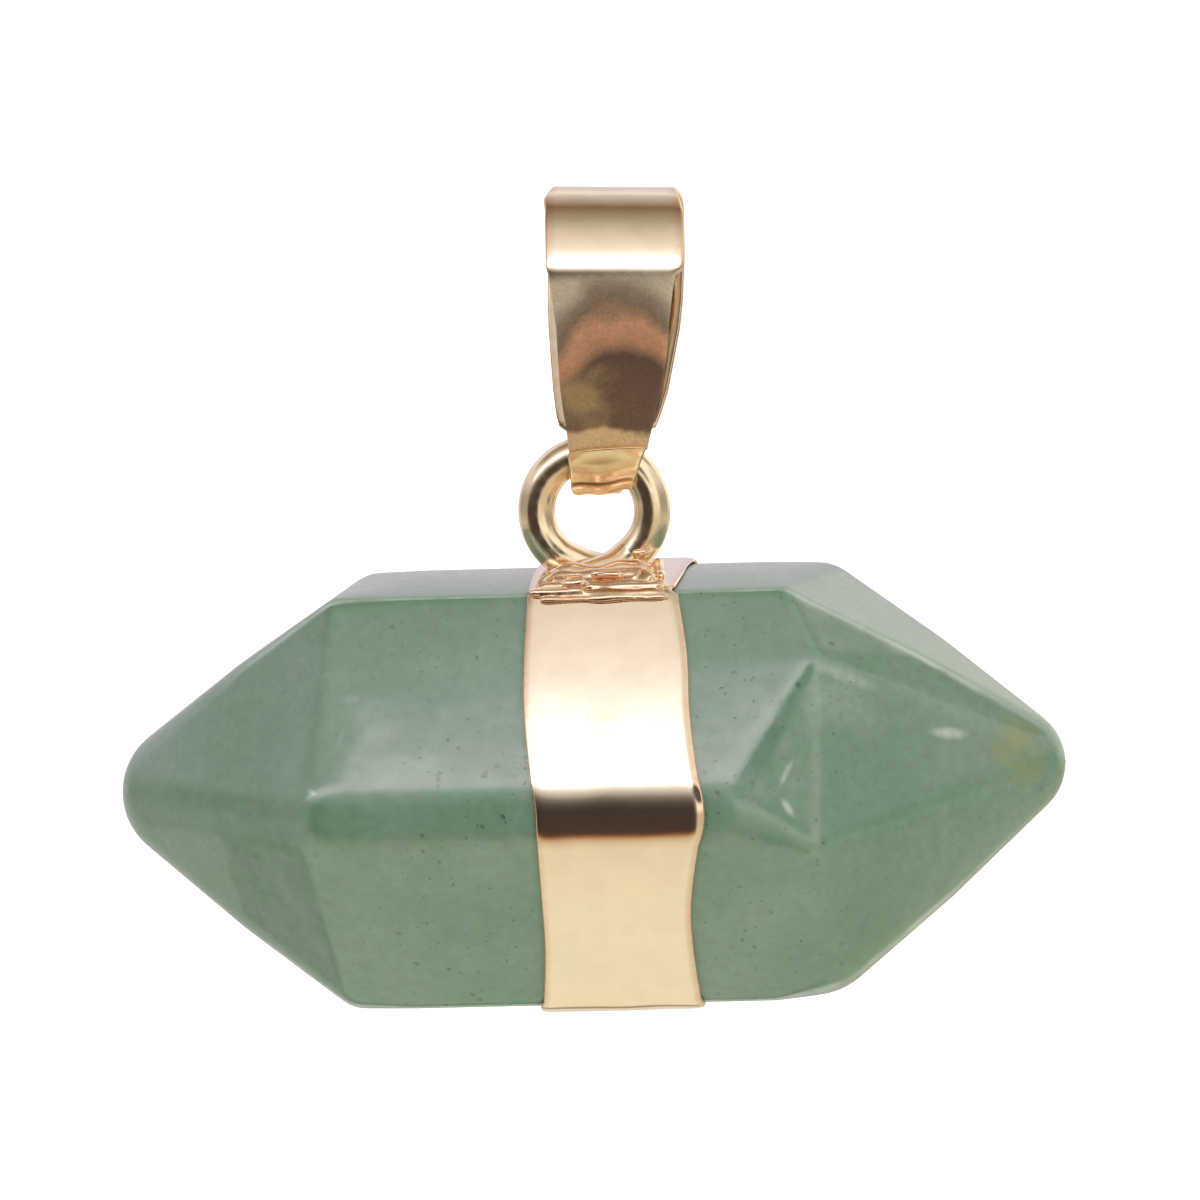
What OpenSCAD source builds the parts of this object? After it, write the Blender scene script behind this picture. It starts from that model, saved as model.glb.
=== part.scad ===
// Stone pendant: a double-pointed six-sided stone held by a gilt collar,
// with a wire ring soldered on the collar and a folded bail through the ring.
// The origin is the axis of the bail's round top, where the chain passes.
// +X runs along the stone, -Y is the front, +Z is up.

/* [Stone] */
// Length of the stone from point to point
stone_length = 36; // [32:0.5:40]
// Width of the stone across its flat faces
stone_flats = 15.7; // [14:0.1:17]
// Rounding radius of the left point
left_tip_r = 2.7; // [1.5:0.1:3]
// Rounding radius of the right point
right_tip_r = 2.2; // [1:0.1:2.5]
// How far the left point lies above the stone's middle
left_tip_rise = 0.05; // [0:0.05:0.5]
// How far the right point lies above the stone's middle
right_tip_rise = 0.4; // [0:0.05:0.5]

/* [Collar] */
// Thickness of the gilt sheet round the stone
band_thickness = 0.2; // [0.15:0.05:0.4]
// Gap between the sheet and the stone
band_gap = 0.04; // [0.03:0.01:0.1]

/* [Ring] */
// Outer diameter of the wire ring
ring_outer_d = 5.8; // [5.4:0.1:6.2]
// Diameter of the ring's wire
wire_d = 1.4; // [1.2:0.05:1.5]
// Height of the ring's centre above the stone's middle
ring_height = 10.45; // [10.2:0.05:10.8]
// How far the ring stands to the right of the stone's middle
ring_shift = 0.4; // [-1:0.1:1.5]

/* [Bail] */
// Height of the bail
bail_height = 11.65; // [11.5:0.05:12]
// Thickness of the bail's strip
strip_thickness = 0.35; // [0.3:0.01:0.38]
// Outer diameter of the bail's round top, from front to back
roll_outer_d = 5.8; // [5.4:0.1:6.2]
// Inner radius of the fold that holds the ring
fold_inner_r = 0.98; // [0.96:0.01:1.05]
// Lean of the bail to the right, about the ring's centre
bail_lean = 2; // [0:0.5:4]
// How far the middle of the bail's round top is to the right of the ring's centre
bail_shift = 0.7; // [0.6:0.05:0.8]

/* [Hidden] */
GOLD = [0.85, 0.66, 0.42];
AVENTURINE = [0.47, 0.60, 0.49];
ROUND_FN = 64;   // facets of a round that stays a true curve
HULL_FN = 40;    // facets of the spheres inside the stone's hull
WIRE_FN = 18;    // facets round the wire and the folds
RING_FN = 48;    // facets round the ring

// The stone's six long edges. Angles turn about X from the back towards the top.
EDGE_ANGLE = 0;   // column: direction of the edge
EDGE_LEFT = 1;    // column: x of the left shoulder
EDGE_RIGHT = 2;   // column: x of the right shoulder
EDGE_LEFT_R = 3;  // column: rounding radius at the left shoulder
EDGE_RIGHT_R = 4; // column: rounding radius at the right shoulder
STONE_EDGES = [
    [0, -9.3, 9.0, 1.8, 1.8],      // back ridge
    [60, -8.5, 9.6, 0.8, 0.9],     // top back
    [120, -9.2, 7.9, 0.5, 0.6],    // top front
    [180, -9.9, 8.2, 2.0, 2.8],    // front ridge
    [240, -9.1, 9.4, 0.6, 1.3],    // bottom front
    [300, -9.0, 9.2, 0.8, 1.0]     // bottom back
];
FACE_TURN = 60;                                   // angle between neighbouring faces
corner_r = stone_flats / 2 / cos(FACE_TURN / 2);  // the sharp hexagon's corner radius
SHOULDER_PULL = 0.36;                             // sphere's way back from a sharp shoulder, in radii

// The collar's left and right edges at each corner and each face's middle, from the back ridge on.
BAND_LEFT = 0;    // column: x of the left edge
BAND_RIGHT = 1;   // column: x of the right edge
BAND_EDGES = [
    [-1.7, 4.4],     // back ridge
    [-1.9, 4.3],     // upper back face
    [-2.0, 4.25],    // top back edge
    [-1.95, 4.15],   // top face
    [-1.9, 4.05],    // top front edge
    [-2.05, 4.15],   // upper front face
    [-1.6, 4.7],     // front ridge
    [-1.5, 3.95],    // lower front face
    [-1.95, 4.25],   // bottom front edge
    [-1.9, 4.2],     // bottom face
    [-1.8, 4.2],     // bottom back edge
    [-1.7, 4.2]      // lower back face
];
ARC_STEPS = 5;    // steps round each corner of the collar
FLAT_STEPS = 4;   // steps along each flat of the collar

// The folds of metal soldered on the collar's top: both ends of each, from the stone's middle
// with z above the collar's top, then its radius.
FOLDS = [
    [[-1.5, -2.2, 0.0], [2.6, -2.0, 0.1], 0.42],     // first fold
    [[-1.6, -3.2, -0.1], [2.8, -3.0, 0.0], 0.36],    // second fold
    [[-1.7, -4.1, -0.1], [3.2, -4.0, -0.05], 0.3],   // front lip
    [[-0.9, 1.0, 0.0], [2.9, 1.3, 0.05], 0.42],      // fold at the back
    [[-0.9, -1.1, 0.1], [1.9, -1.0, 0.2], 0.5]       // lump under the crossing
];
// The wire's ends, from the ring's centre: each leaves the round, crosses the other and lies down.
FRONT_LEG = [[0, -0.45, -2.5], [-1.5, -0.75, -2.6]];
BACK_LEG = [[0, 0.4, -2.5], [1.75, 0.2, -2.35]];
LEG_TURN = 55;    // where the round ends on each side, below the level of the ring's centre

// The strip's outline seen from the front, from the bail's lowest point and the middle of its round top.
// The strip was bent a little askew, so its halves differ.
OUTLINE_HEIGHT = 0;  // column: height
OUTLINE_LEFT = 1;    // column: x of the left edge there
OUTLINE_RIGHT = 2;   // column: x of the right edge there
FRONT_OUTLINE = [
    [-0.1, -1.44, 0.34],
    [0.9, -1.5, 0.38],
    [1.7, -1.54, 0.5],
    [2.0, -1.64, 1.45],
    [2.5, -1.8, 1.6],
    [4.25, -2.0, 2.05],
    [5.4, -2.17, 2.28],
    [6.6, -2.24, 2.46],
    [8.2, -2.32, 2.65],
    [9.1, -2.4, 2.82],
    [11.0, -2.6, 2.66],
    [11.4, -2.58, 2.58],
    [11.7, -2.3, 2.3]
];
BACK_OUTLINE = [
    [-0.1, -1.44, 0.34],
    [0.9, -1.5, 0.38],
    [1.9, -1.5, 0.5],
    [2.7, -1.7, 1.6],
    [3.6, -1.9, 1.95],
    [5.4, -2.15, 2.38],
    [7.0, -2.3, 2.45],
    [8.4, -2.4, 2.5],
    [11.0, -2.6, 2.62],
    [11.4, -2.58, 2.56],
    [11.7, -2.3, 2.3]
];
// The toe's four corners seen from the front: x, then height.
TOE_CORNERS = [[-1.56, 1.62], [1.36, 1.93], [1.0, 0.72], [-1.5, 0.5]];
TOE_LAP = 0.15;      // thickness of the toe's lap over the fold

flat_r = stone_flats / 2;
band_top = flat_r + band_gap + band_thickness;
ring_r = (ring_outer_d - wire_d) / 2;
fold_outer_r = fold_inner_r + strip_thickness;
roll_outer_r = roll_outer_d / 2;
fold_height = fold_outer_r;
roll_height = bail_height - roll_outer_r;
fold_to_roll = roll_height - fold_height;
CHORD_HALF = 1.08;   // half the length of the wire's arc that the fold may cover
ring_inner_r = ring_r - wire_d / 2;
// The fold turns about the middle of that arc.
pivot_over_ring = (sqrt(pow(ring_inner_r, 2) - pow(CHORD_HALF, 2)) + ring_outer_d / 2) / 2;
ring_to_origin = pivot_over_ring + fold_to_roll;
leg_slope = asin((roll_outer_r - fold_outer_r) / fold_to_roll);

module at_ring_centre() {
    rotate([0, bail_lean, 0]) translate([-bail_shift, 0, -ring_to_origin])
        rotate([0, -bail_lean, 0]) children();
}

module at_stone_middle() {
    at_ring_centre() translate([-ring_shift, 0, -ring_height]) children();
}

// Lays a profile drawn in the plane of depth and height along X.
module along_x(width) {
    rotate([90, 0, 90]) linear_extrude(height = width, center = true) children();
}

function corner_middle(edge, r) =
    let (out = corner_r - r / cos(FACE_TURN / 2))
    [out * cos(edge[EDGE_ANGLE]), out * sin(edge[EDGE_ANGLE])];

module shoulder_ball(edge, side) {
    r = edge[side < 0 ? EDGE_LEFT_R : EDGE_RIGHT_R];
    x = edge[side < 0 ? EDGE_LEFT : EDGE_RIGHT] - side * SHOULDER_PULL * r;
    middle = corner_middle(edge, r);
    translate([x, middle[0], middle[1]]) sphere(r = r, $fn = HULL_FN);
}

module tip_ball(side, r, rise) {
    translate([side * (stone_length / 2 - r), 0, rise]) sphere(r = r, $fn = HULL_FN);
}

module stone() {
    color(AVENTURINE) at_stone_middle() hull() {
        for (edge = STONE_EDGES, side = [-1, 1]) shoulder_ball(edge, side);
        tip_ball(-1, left_tip_r, left_tip_rise);
        tip_ball(1, right_tip_r, right_tip_rise);
    }
}

// One corner of the collar's path: points at a distance from the stone, each with its place in BAND_EDGES.
function corner_arc(k, lift) =
    let (edge = STONE_EDGES[k], r = min(edge[EDGE_LEFT_R], edge[EDGE_RIGHT_R]),
         middle = corner_middle(edge, r))
    [for (i = [0:ARC_STEPS])
        let (turn = (i / ARC_STEPS - 0.5) * FACE_TURN, a = edge[EDGE_ANGLE] + turn)
        [middle[0] + (r + lift) * cos(a), middle[1] + (r + lift) * sin(a), 2 * k + turn / FACE_TURN]];

function between(a, b, share) = a + (b - a) * share;

function loop_points(lift) = [
    for (k = [0:len(STONE_EDGES) - 1])
        let (here = corner_arc(k, lift), next = corner_arc((k + 1) % len(STONE_EDGES), lift)[0],
             wrapped = [next[0], next[1], 2 * k + 1.5])
        each concat(here, [for (i = [1:FLAT_STEPS - 1]) between(here[ARC_STEPS], wrapped, i / FLAT_STEPS)])
];

function eased(t) = (1 - cos(180 * t)) / 2;

function band_edge(place, column) =
    let (count = len(BAND_EDGES), p = (place + count) % count, i = floor(p))
    between(BAND_EDGES[i][column], BAND_EDGES[(i + 1) % count][column], eased(p - i));

// The sheet round the stone, as one closed loop of four-cornered sections.
module band() {
    inner = loop_points(band_gap);
    outer = loop_points(band_gap + band_thickness);
    count = len(inner);
    points = [for (i = [0:count - 1])
        let (left = band_edge(inner[i][2], BAND_LEFT), right = band_edge(inner[i][2], BAND_RIGHT))
        each [[left, inner[i][0], inner[i][1]], [left, outer[i][0], outer[i][1]],
              [right, outer[i][0], outer[i][1]], [right, inner[i][0], inner[i][1]]]];
    faces = [for (i = [0:count - 1], side = [0:3])
        let (next = (i + 1) % count, up = (side + 1) % 4)
        [4 * i + side, 4 * i + up, 4 * next + up, 4 * next + side]];
    polyhedron(points = points, faces = faces, convexity = 4);
}

module rod(from, to, r) {
    hull() {
        translate(from) sphere(r = r, $fn = WIRE_FN);
        translate(to) sphere(r = r, $fn = WIRE_FN);
    }
}

// The wire's round, then its two ends crossed at the foot.
module ring() {
    wire_r = wire_d / 2;
    foot = [ring_r * cos(LEG_TURN), 0, -ring_r * sin(LEG_TURN)];
    translate([ring_shift, 0, ring_height]) {
        rotate([90, 0, 0]) rotate([0, 0, -LEG_TURN])
            rotate_extrude(angle = 180 + 2 * LEG_TURN, $fn = RING_FN)
                translate([ring_r, 0]) circle(r = wire_r, $fn = WIRE_FN);
        rod(foot, FRONT_LEG[0], wire_r);
        rod(FRONT_LEG[0], FRONT_LEG[1], wire_r);
        rod([-foot[0], 0, foot[2]], BACK_LEG[0], wire_r);
        rod(BACK_LEG[0], BACK_LEG[1], wire_r);
    }
}

// The ring and the folds, cut off inside the sheet so that they don't reach the stone.
module soldered_top() {
    cut = band_top - band_thickness / 2;
    difference() {
        union() {
            ring();
            for (row = FOLDS) rod(row[0] + [0, 0, band_top], row[1] + [0, 0, band_top], row[2]);
        }
        translate([-stone_length / 2, -stone_length / 2, cut - stone_length])
            cube([stone_length, stone_length, stone_length]);
    }
}

module collar() {
    color(GOLD) at_stone_middle() {
        band();
        soldered_top();
    }
}

// A solid teardrop of two circles and the tangents between them, drawn up from the bail's lowest point.
module teardrop(low_r, high_r) {
    translate([0, fold_height]) circle(r = low_r, $fn = ROUND_FN);
    translate([0, roll_height]) circle(r = high_r, $fn = ROUND_FN);
    c = cos(leg_slope);
    s = sin(leg_slope);
    polygon([
        [low_r * c, fold_height - low_r * s], [high_r * c, roll_height - high_r * s],
        [-high_r * c, roll_height - high_r * s], [-low_r * c, fold_height - low_r * s]
    ]);
}

module strip_side() {
    difference() {
        teardrop(fold_outer_r, roll_outer_r);
        teardrop(fold_inner_r, roll_outer_r - strip_thickness);
    }
}

// One half of the strip's outline, as a solid in front of the bail's middle or behind it.
module outline_half(rows, side) {
    last = len(rows) - 1;
    translate([0, side * roll_outer_d, 0]) rotate([90, 0, 0])
        linear_extrude(height = 2 * roll_outer_d, center = true) polygon(concat(
            [for (row = rows) [row[OUTLINE_RIGHT], row[OUTLINE_HEIGHT]]],
            [for (i = [last:-1:0]) [rows[i][OUTLINE_LEFT], rows[i][OUTLINE_HEIGHT]]]
        ));
}

// The front end of the strip, lapped over the fold.
module toe() {
    lap_r = fold_outer_r + TOE_LAP;
    intersection() {
        along_x(2 * roll_outer_d) translate([0, fold_height]) difference() {
            circle(r = lap_r, $fn = ROUND_FN);
            circle(r = fold_outer_r - strip_thickness / 2, $fn = ROUND_FN);
        }
        translate([0, -roll_outer_r, 0]) rotate([90, 0, 0])
            linear_extrude(height = roll_outer_d, center = true) polygon(TOE_CORNERS);
    }
}

module bail() {
    color(GOLD) rotate([0, bail_lean, 0]) translate([0, 0, -roll_height]) {
        intersection() {
            along_x(2 * roll_outer_d) strip_side();
            outline_half(FRONT_OUTLINE, -1);
        }
        intersection() {
            along_x(2 * roll_outer_d) strip_side();
            outline_half(BACK_OUTLINE, 1);
        }
        toe();
    }
}

bail();
collar();
stone();
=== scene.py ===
from collections import namedtuple
from math import acos, atan2, cos, floor, hypot, pi, radians, sin, tan

import bpy
from bpy.props import FloatProperty, FloatVectorProperty, PointerProperty
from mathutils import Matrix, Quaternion, Vector, noise


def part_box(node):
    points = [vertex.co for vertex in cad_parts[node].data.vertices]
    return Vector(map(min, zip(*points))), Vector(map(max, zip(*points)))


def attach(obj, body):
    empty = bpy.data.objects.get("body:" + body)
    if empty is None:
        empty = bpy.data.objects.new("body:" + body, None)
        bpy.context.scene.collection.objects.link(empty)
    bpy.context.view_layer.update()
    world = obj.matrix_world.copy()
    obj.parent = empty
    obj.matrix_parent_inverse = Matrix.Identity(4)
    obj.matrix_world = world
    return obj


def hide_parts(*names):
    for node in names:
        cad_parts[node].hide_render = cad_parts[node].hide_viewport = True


bl_info = {
    "name": "Stone pendant",
    "version": (1, 0, 0),
    "blender": (4, 5, 0),
    "location": "3D View > Sidebar > Pendant",
    "description": "Dresses a double-pointed stone pendant with its gilt collar, ring and bail",
    "category": "Add Mesh",
}

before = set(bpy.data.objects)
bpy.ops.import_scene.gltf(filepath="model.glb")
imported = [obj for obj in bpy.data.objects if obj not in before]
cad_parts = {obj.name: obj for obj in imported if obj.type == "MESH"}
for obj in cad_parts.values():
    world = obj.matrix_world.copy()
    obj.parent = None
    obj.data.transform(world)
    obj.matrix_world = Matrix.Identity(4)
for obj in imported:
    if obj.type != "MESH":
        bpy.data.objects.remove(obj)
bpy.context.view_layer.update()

# Pieces are modelled in millimetres and brought to metres when they are finished.
MM = 0.001
STONE_LOW, STONE_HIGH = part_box("stone")
STONE_MIDDLE = Vector((STONE_LOW.x + STONE_HIGH.x, 0, STONE_LOW.z + STONE_HIGH.z)) / 2 / MM

# The stone's six long edges. Angles turn about X from the back towards the top.
Edge = namedtuple("Edge", "angle left right along_r left_r right_r")
STONE_EDGES = [
    # angle, left shoulder x, right shoulder x, rounding along the edge, at its left and at its right shoulder
    Edge(0, -9.3, 9.0, 1.8, 1.8, 1.8),      # back ridge
    Edge(60, -8.7, 9.3, 0.8, 1.5, 1.8),     # top back
    Edge(120, -9.3, 7.8, 0.5, 0.9, 0.5),    # top front
    Edge(180, -9.9, 6.5, 2.8, 2.8, 2.8),    # front ridge
    Edge(240, -9.1, 9.3, 0.7, 1.3, 2.8),    # bottom front
    Edge(300, -9.0, 9.2, 0.8, 1.3, 1.8),    # bottom back
]
LEFT, RIGHT = -1, 1
FACE_TURN = 60
SHOULDER_PULL = 0.36    # share of a shoulder's rounding that its ball is set back by
POINT_SWELL = 0.18      # how far the points' long edges bow outwards
WIDENING = 2.4          # an edge's rounding changes over this length before its shoulder
RIGHT_SHOULDERS = [
    # x, y, height, rounding
    (8.62, -5.49, 4.98, 0.8),     # on the upper front face
    (8.45, -7.22, -1.38, 0.9),    # under the front ridge
]
# These turn attributes place the painted highlights along the stone's edges.
EDGE_TURNS = {"front_turn": 210, "under_turn": 330}    # attribute and the direction its turn is measured in
TIPS = [
    # side, rounding, rise above the stone's middle
    (LEFT, 2.7, 0.05), (RIGHT, 2.2, 0.4),
]

# Painted glints and milky clouds near the stone's front surface, from the stone's middle.
# The glints are painted highlights; the clouds are partly the stone's own paleness and partly painted
# highlight.
GLINTS_AND_CLOUDS = [
    # x, height, half length, half width, turn in degrees, strength
    (9.9, 4.6, 2.1, 0.38, 27, 0.38),       # painted glint, long, on the right point
    (13.7, 2.1, 0.95, 0.30, 12, 0.75),     # painted glint, short, nearer its tip
    (7.72, 1.30, 0.66, 0.17, -62, 0.65),   # painted glint, hooked, by the right shoulder
    (7.75, 0.05, 0.55, 0.19, 58, 0.75),
    (6.3, 3.9, 1.5, 1.2, -40, 0.10),       # milky clouds on the right, partly painted highlight
    (9.6, 3.7, 2.4, 1.2, 25, 0.20),
    (6.1, 1.1, 1.3, 0.9, -40, 0.14),
    (-8.44, 4.3, 0.42, 0.28, 0, 0.20),     # painted glints, a blob and a streak, along the left shoulder
    (-8.87, 2.96, 0.62, 0.15, -75, 0.17),
    (-9.96, 1.05, 0.30, 0.15, 20, 0.50),
    (-6.8, 1.9, 2.6, 0.9, 0, 0.12),        # milky clouds on the left, partly painted highlight
    (-7.7, 3.5, 1.4, 1.1, 60, 0.13),
]
STAIN_PLACE = STONE_MIDDLE + Vector((15.9, -1.8, 1.0))    # a small olive stain on the right point
SPECKS = [
    # cells to a millimetre, share of the cells without a speck, largest radius in cells
    (1.7, 0.25, 0.25), (2.8, 0.10, 0.25),
]

# The collar's left and right edges at each corner and each face's middle, from the back ridge on.
BAND_EDGES = [
    (-1.7, 4.4),     # back ridge
    (-1.9, 4.3),     # upper back face
    (-2.0, 4.0),     # top back edge
    (-1.95, 3.8),    # top face
    (-1.85, 3.5),    # top front edge
    (-2.05, 4.15),   # upper front face
    (-1.6, 4.7),     # front ridge
    (-1.58, 3.97),   # lower front face
    (-1.95, 4.25),   # bottom front edge
    (-1.9, 4.2),     # bottom face
    (-1.8, 4.2),     # bottom back edge
    (-1.7, 4.2),     # lower back face
]

# The wire's ring. It is round down to the leg turn, and its two ends cross below that.
RING_SHIFT = 0.4       # from the stone's middle to the right
RING_HEIGHT = 10.45    # from the stone's middle up
LEG_TURN = 55          # degrees under level
FRONT_LEG = [
    # x, y and height from the ring's centre, radius
    (0.75, -0.35, -2.10, 0.62), (0.05, -0.90, -2.15, 0.46),
    (-0.75, -1.50, -2.15, 0.26), (-1.36, -2.0, -2.15, 0.10),
]
BACK_LEG = [
    # the same columns, from the wire's end to the ring
    (1.75, 0.2, -2.35, 0.60), (0, 0.4, -2.5, 0.70),
]

# Strands of melted metal on the collar's top, from the middle of the stone's length and the collar's top.
STRANDS = [
    # start x, y, height, end x, y, height, radius
    (0.30, -5.00, -0.42, 3.38, -5.00, -0.43, 0.13),
    (-1.38, -5.02, -0.43, 0.60, -5.02, -0.44, 0.11),
    (-1.30, -4.88, -0.26, 3.20, -4.90, -0.27, 0.12),
    (-1.73, -4.85, -0.16, 0.15, -4.85, -0.17, 0.17),
    (0.37, -4.60, -0.04, 3.18, -4.60, -0.06, 0.17),
    (-0.48, -4.30, 0.08, 0.16, -4.30, 0.10, 0.17),
    (-1.51, -4.00, 0.07, -1.08, -3.60, 0.35, 0.13),
    (-0.48, -3.60, 0.30, 0.05, -3.60, 0.32, 0.14),
    (0.55, -3.70, 0.32, 1.56, -3.70, 0.29, 0.19),
    (2.04, -3.50, 0.18, 2.35, -3.00, 0.38, 0.13),
    (2.35, -3.00, 0.38, 2.71, -3.50, 0.17, 0.13),
    (1.91, -0.74, 0.77, 2.48, -0.70, 0.78, 0.13),
    (2.81, -1.00, 0.44, 3.06, -3.00, 0.10, 0.18),
    (-1.40, -4.10, -0.12, 2.80, -4.10, -0.12, 0.26),
    (-1.30, -3.30, -0.10, 2.75, -3.30, -0.10, 0.38),
    (-1.10, -2.40, -0.05, 2.60, -2.40, -0.05, 0.46),
    (-0.90, -1.40, 0.00, 2.40, -1.40, 0.00, 0.55),
    (-0.90, -0.40, -0.05, 2.50, -0.40, -0.05, 0.55),
    (-0.80, 0.60, -0.05, 2.50, 0.60, -0.05, 0.45),
    (-0.50, 1.40, -0.10, 2.10, 1.30, -0.10, 0.32),
]
STRAND_SEED = 10        # noise vectors are offset by the clock without one
FULL_HOLLOW = 0.0026    # a point this far under the middle of its neighbours is all copper, painted in as shade
RIM_WEAR = 0.35         # how much copper shows on the rims of sheet and strip

# The bail's strip seen from the front, from its lowest point and the middle of its round top.
FRONT_OUTLINE = [
    # height, left x, right x
    (-0.1, -1.44, 0.34), (0.9, -1.5, 0.38), (1.5, -1.56, 0.6), (1.82, -1.6, 1.39), (2.6, -1.66, 1.56),
    (3.15, -1.76, 1.71), (4.2, -1.88, 1.92), (5.4, -1.94, 2.16), (6.5, -1.98, 2.24), (7.6, -2.12, 2.37),
    (8.6, -2.25, 2.51), (8.9, -2.34, 2.82), (10.1, -2.41, 2.84), (10.95, -2.47, 2.74), (11.35, -2.56, 2.6),
    (11.7, -2.3, 2.3),
]
BACK_OUTLINE = [
    # height, left x, right x
    (-0.1, -1.44, 0.34), (0.9, -1.5, 0.38), (1.95, -1.55, 0.5), (2.35, -2.15, 1.55), (2.75, -2.26, 1.71),
    (3.7, -2.4, 2.0), (4.9, -2.52, 2.21), (6.0, -2.62, 2.4), (7.1, -2.68, 2.5), (9.5, -2.7, 2.55),
    (11.0, -2.66, 2.56), (11.35, -2.6, 2.52), (11.7, -2.3, 2.3),
]
TOE_SIDES = [
    # share down from the crease, left x, left height, right x, right height
    (0.0, -1.62, 1.58, 1.38, 1.95), (0.7, -1.53, 0.5, 0.94, 0.75), (0.86, -1.51, 0.20, 0.85, 0.45),
    (0.93, -1.46, 0.07, 0.81, 0.33), (0.97, -1.38, 0.0, 0.76, 0.26), (1.0, -1.22, -0.05, 0.66, 0.21),
]
TOE_TURNS = [
    # share down from the crease, how far the face tips down in degrees
    (0.0, 34), (0.1, 31), (0.25, 25), (0.45, 24), (0.56, 28), (0.70, 29), (0.75, 14), (0.80, 24), (0.94, 34),
    (1.0, 70),
]
BAIL_HEIGHT = 11.65
ROLL_AXIS = 8.75    # height of the chain's axis above the bail's lowest point
BAIL_LEAN = 2       # degrees that its top leans to the right

# What the metal mirrors, by the angle from the front horizon up and over to the back.
SURROUND = [
    # degrees, red, green, blue
    (-180, 0.76, 0.68, 0.73), (-120, 0.86, 0.84, 0.72), (-112, 0.35, 0.34, 0.28), (-104, 0.35, 0.34, 0.28),
    (-95, 0.90, 0.88, 0.71), (-66, 0.913, 0.89, 0.71), (-59, 0.86, 0.80, 0.64), (-50, 0.76, 0.66, 0.48),
    (-44, 0.62, 0.48, 0.32), (-40, 0.40, 0.20, 0.09), (-36, 0.12, 0.06, 0.04), (-31, 0.07, 0.05, 0.042),
    (0, 0.057, 0.045, 0.040), (9, 0.09, 0.08, 0.07), (17, 0.22, 0.20, 0.18), (26, 0.66, 0.68, 0.66),
    (31, 1.0, 1.0, 1.0), (41, 3.2, 2.7, 2.95), (45.5, 3.2, 2.7, 2.95), (47, 2.0, 1.75, 1.9),
    (52, 1.12, 1.14, 1.18), (54.5, 1.01, 1.01, 1.0), (57, 0.98, 0.94, 0.89), (63.7, 0.767, 0.723, 0.658),
    (68.3, 0.614, 0.58, 0.497), (78.3, 0.457, 0.416, 0.324), (102, 0.24, 0.165, 0.10),
    (113.7, 0.474, 0.41, 0.37), (129.5, 0.72, 0.71, 0.74), (138, 1.05, 1.02, 1.05), (151.3, 0.82, 0.77, 0.85),
    (180, 0.76, 0.68, 0.73),
]

# Calmer parts of the surround: from a little right of the middle on, and far out on both sides. Each fades in
# between its span's two shares of the way out to the side.
NEAR_SPAN = (0.08, 0.28)
NEAR_RIGHT = [
    # share up from straight below to straight above, red, green, blue
    (0.0, 0.86, 0.84, 0.72), (0.30, 0.70, 0.62, 0.45), (0.42, 0.72, 0.62, 0.46), (0.50, 1.20, 1.15, 1.0),
    (0.80, 1.20, 1.17, 1.10), (1.0, 0.50, 0.47, 0.40),
]
FAR_SPAN = (0.77, 0.88)
FAR_SIDES = [
    # share up, red, green, blue
    (0.0, 0.86, 0.84, 0.72), (0.23, 0.50, 0.48, 0.42), (0.38, 0.62, 0.60, 0.52), (0.46, 0.40, 0.38, 0.31),
    (0.56, 0.40, 0.38, 0.32), (0.66, 0.80, 0.76, 0.77), (0.80, 0.80, 0.76, 0.77), (1.0, 0.70, 0.66, 0.66),
]

# Small darker cards in the surround. A card fades in between two cosines of the angle to its middle.
CARD_SPAN = (0.955, 0.985)
CARD_TONE = (1.0, 0.95, 0.85)
DARK_CARDS = [
    # direction x, y, z, brightness
    (0.360, -0.841, 0.405, 0.10),    # in front on the right
    (0.676, 0.293, 0.676, 0.45),     # above on the right
]

# Painted reflections down the bail's front leg: brown and rust bands, an olive patch and a tan foot, in
# millimetres from the chain's axis.
LEG_REFLECTION_SPAN = (-7.0, 1.0)
LEG_REFLECTION = [
    # share of the span's height, red, green, blue
    (0.0, 0.20, 0.12, 0.075), (0.36, 0.17, 0.105, 0.07), (0.54, 0.13, 0.08, 0.06), (0.635, 0.48, 0.26, 0.145),
    (0.725, 0.60, 0.32, 0.185), (0.81, 0.24, 0.175, 0.12), (0.88, 0.30, 0.24, 0.175), (1.0, 0.58, 0.51, 0.39),
]
ARCH_MIDDLE = 0.3    # x of the top of the painted rust reflection's arch
ARCH_BEND = 0.3      # how fast the arch falls to its sides
OLIVE_REFLECTION_PLACE = (-1.3, -2.0, -5.1)
OLIVE_REFLECTION = (0.42, 0.29, 0.14, 1)
FOOT_REFLECTION = (0.74, 0.53, 0.29, 1)

# The camera, where the photograph was taken from: millimetres and degrees.
CAMERA_PLACE = (21.460, -345.625, 28.485)
CAMERA_AIM = (-1.008, 1.283, -12.946)
CAMERA_ROLL = 1.8905


class StoneSizes(bpy.types.PropertyGroup):
    length: FloatProperty(name="Length", description="From point to point, in millimetres", default=36.0)
    flats: FloatProperty(name="Across flats", description="Width across faces, in millimetres", default=15.7)
    crown: FloatProperty(name="Crown", default=4.5,
                         description="How far the faces turn out of flat on each side, in degrees")
    body: FloatVectorProperty(name="Stone", description="Colour of the stone", subtype="COLOR", size=4,
                              default=(0.154, 0.284, 0.184, 1))
    pale: FloatVectorProperty(name="Clouds", description="Colour of the paler clouds",
                              subtype="COLOR", size=4, default=(0.197, 0.318, 0.230, 1))
    speck: FloatVectorProperty(name="Specks", description="Colour of the dark specks",
                               subtype="COLOR", size=4, default=(0.045, 0.080, 0.060, 1))
    stain: FloatVectorProperty(name="Stain", description="Colour of the stain at the right point",
                               subtype="COLOR", size=4, default=(0.300, 0.320, 0.090, 1))
    # The pale colour of the painted glints and edge highlights, and of the milky clouds.
    glint_and_milk: FloatVectorProperty(name="Milky marks", description="Colour of the pale marks and worn edges",
                              subtype="COLOR", size=4, default=(0.62, 0.70, 0.64, 1))


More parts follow.
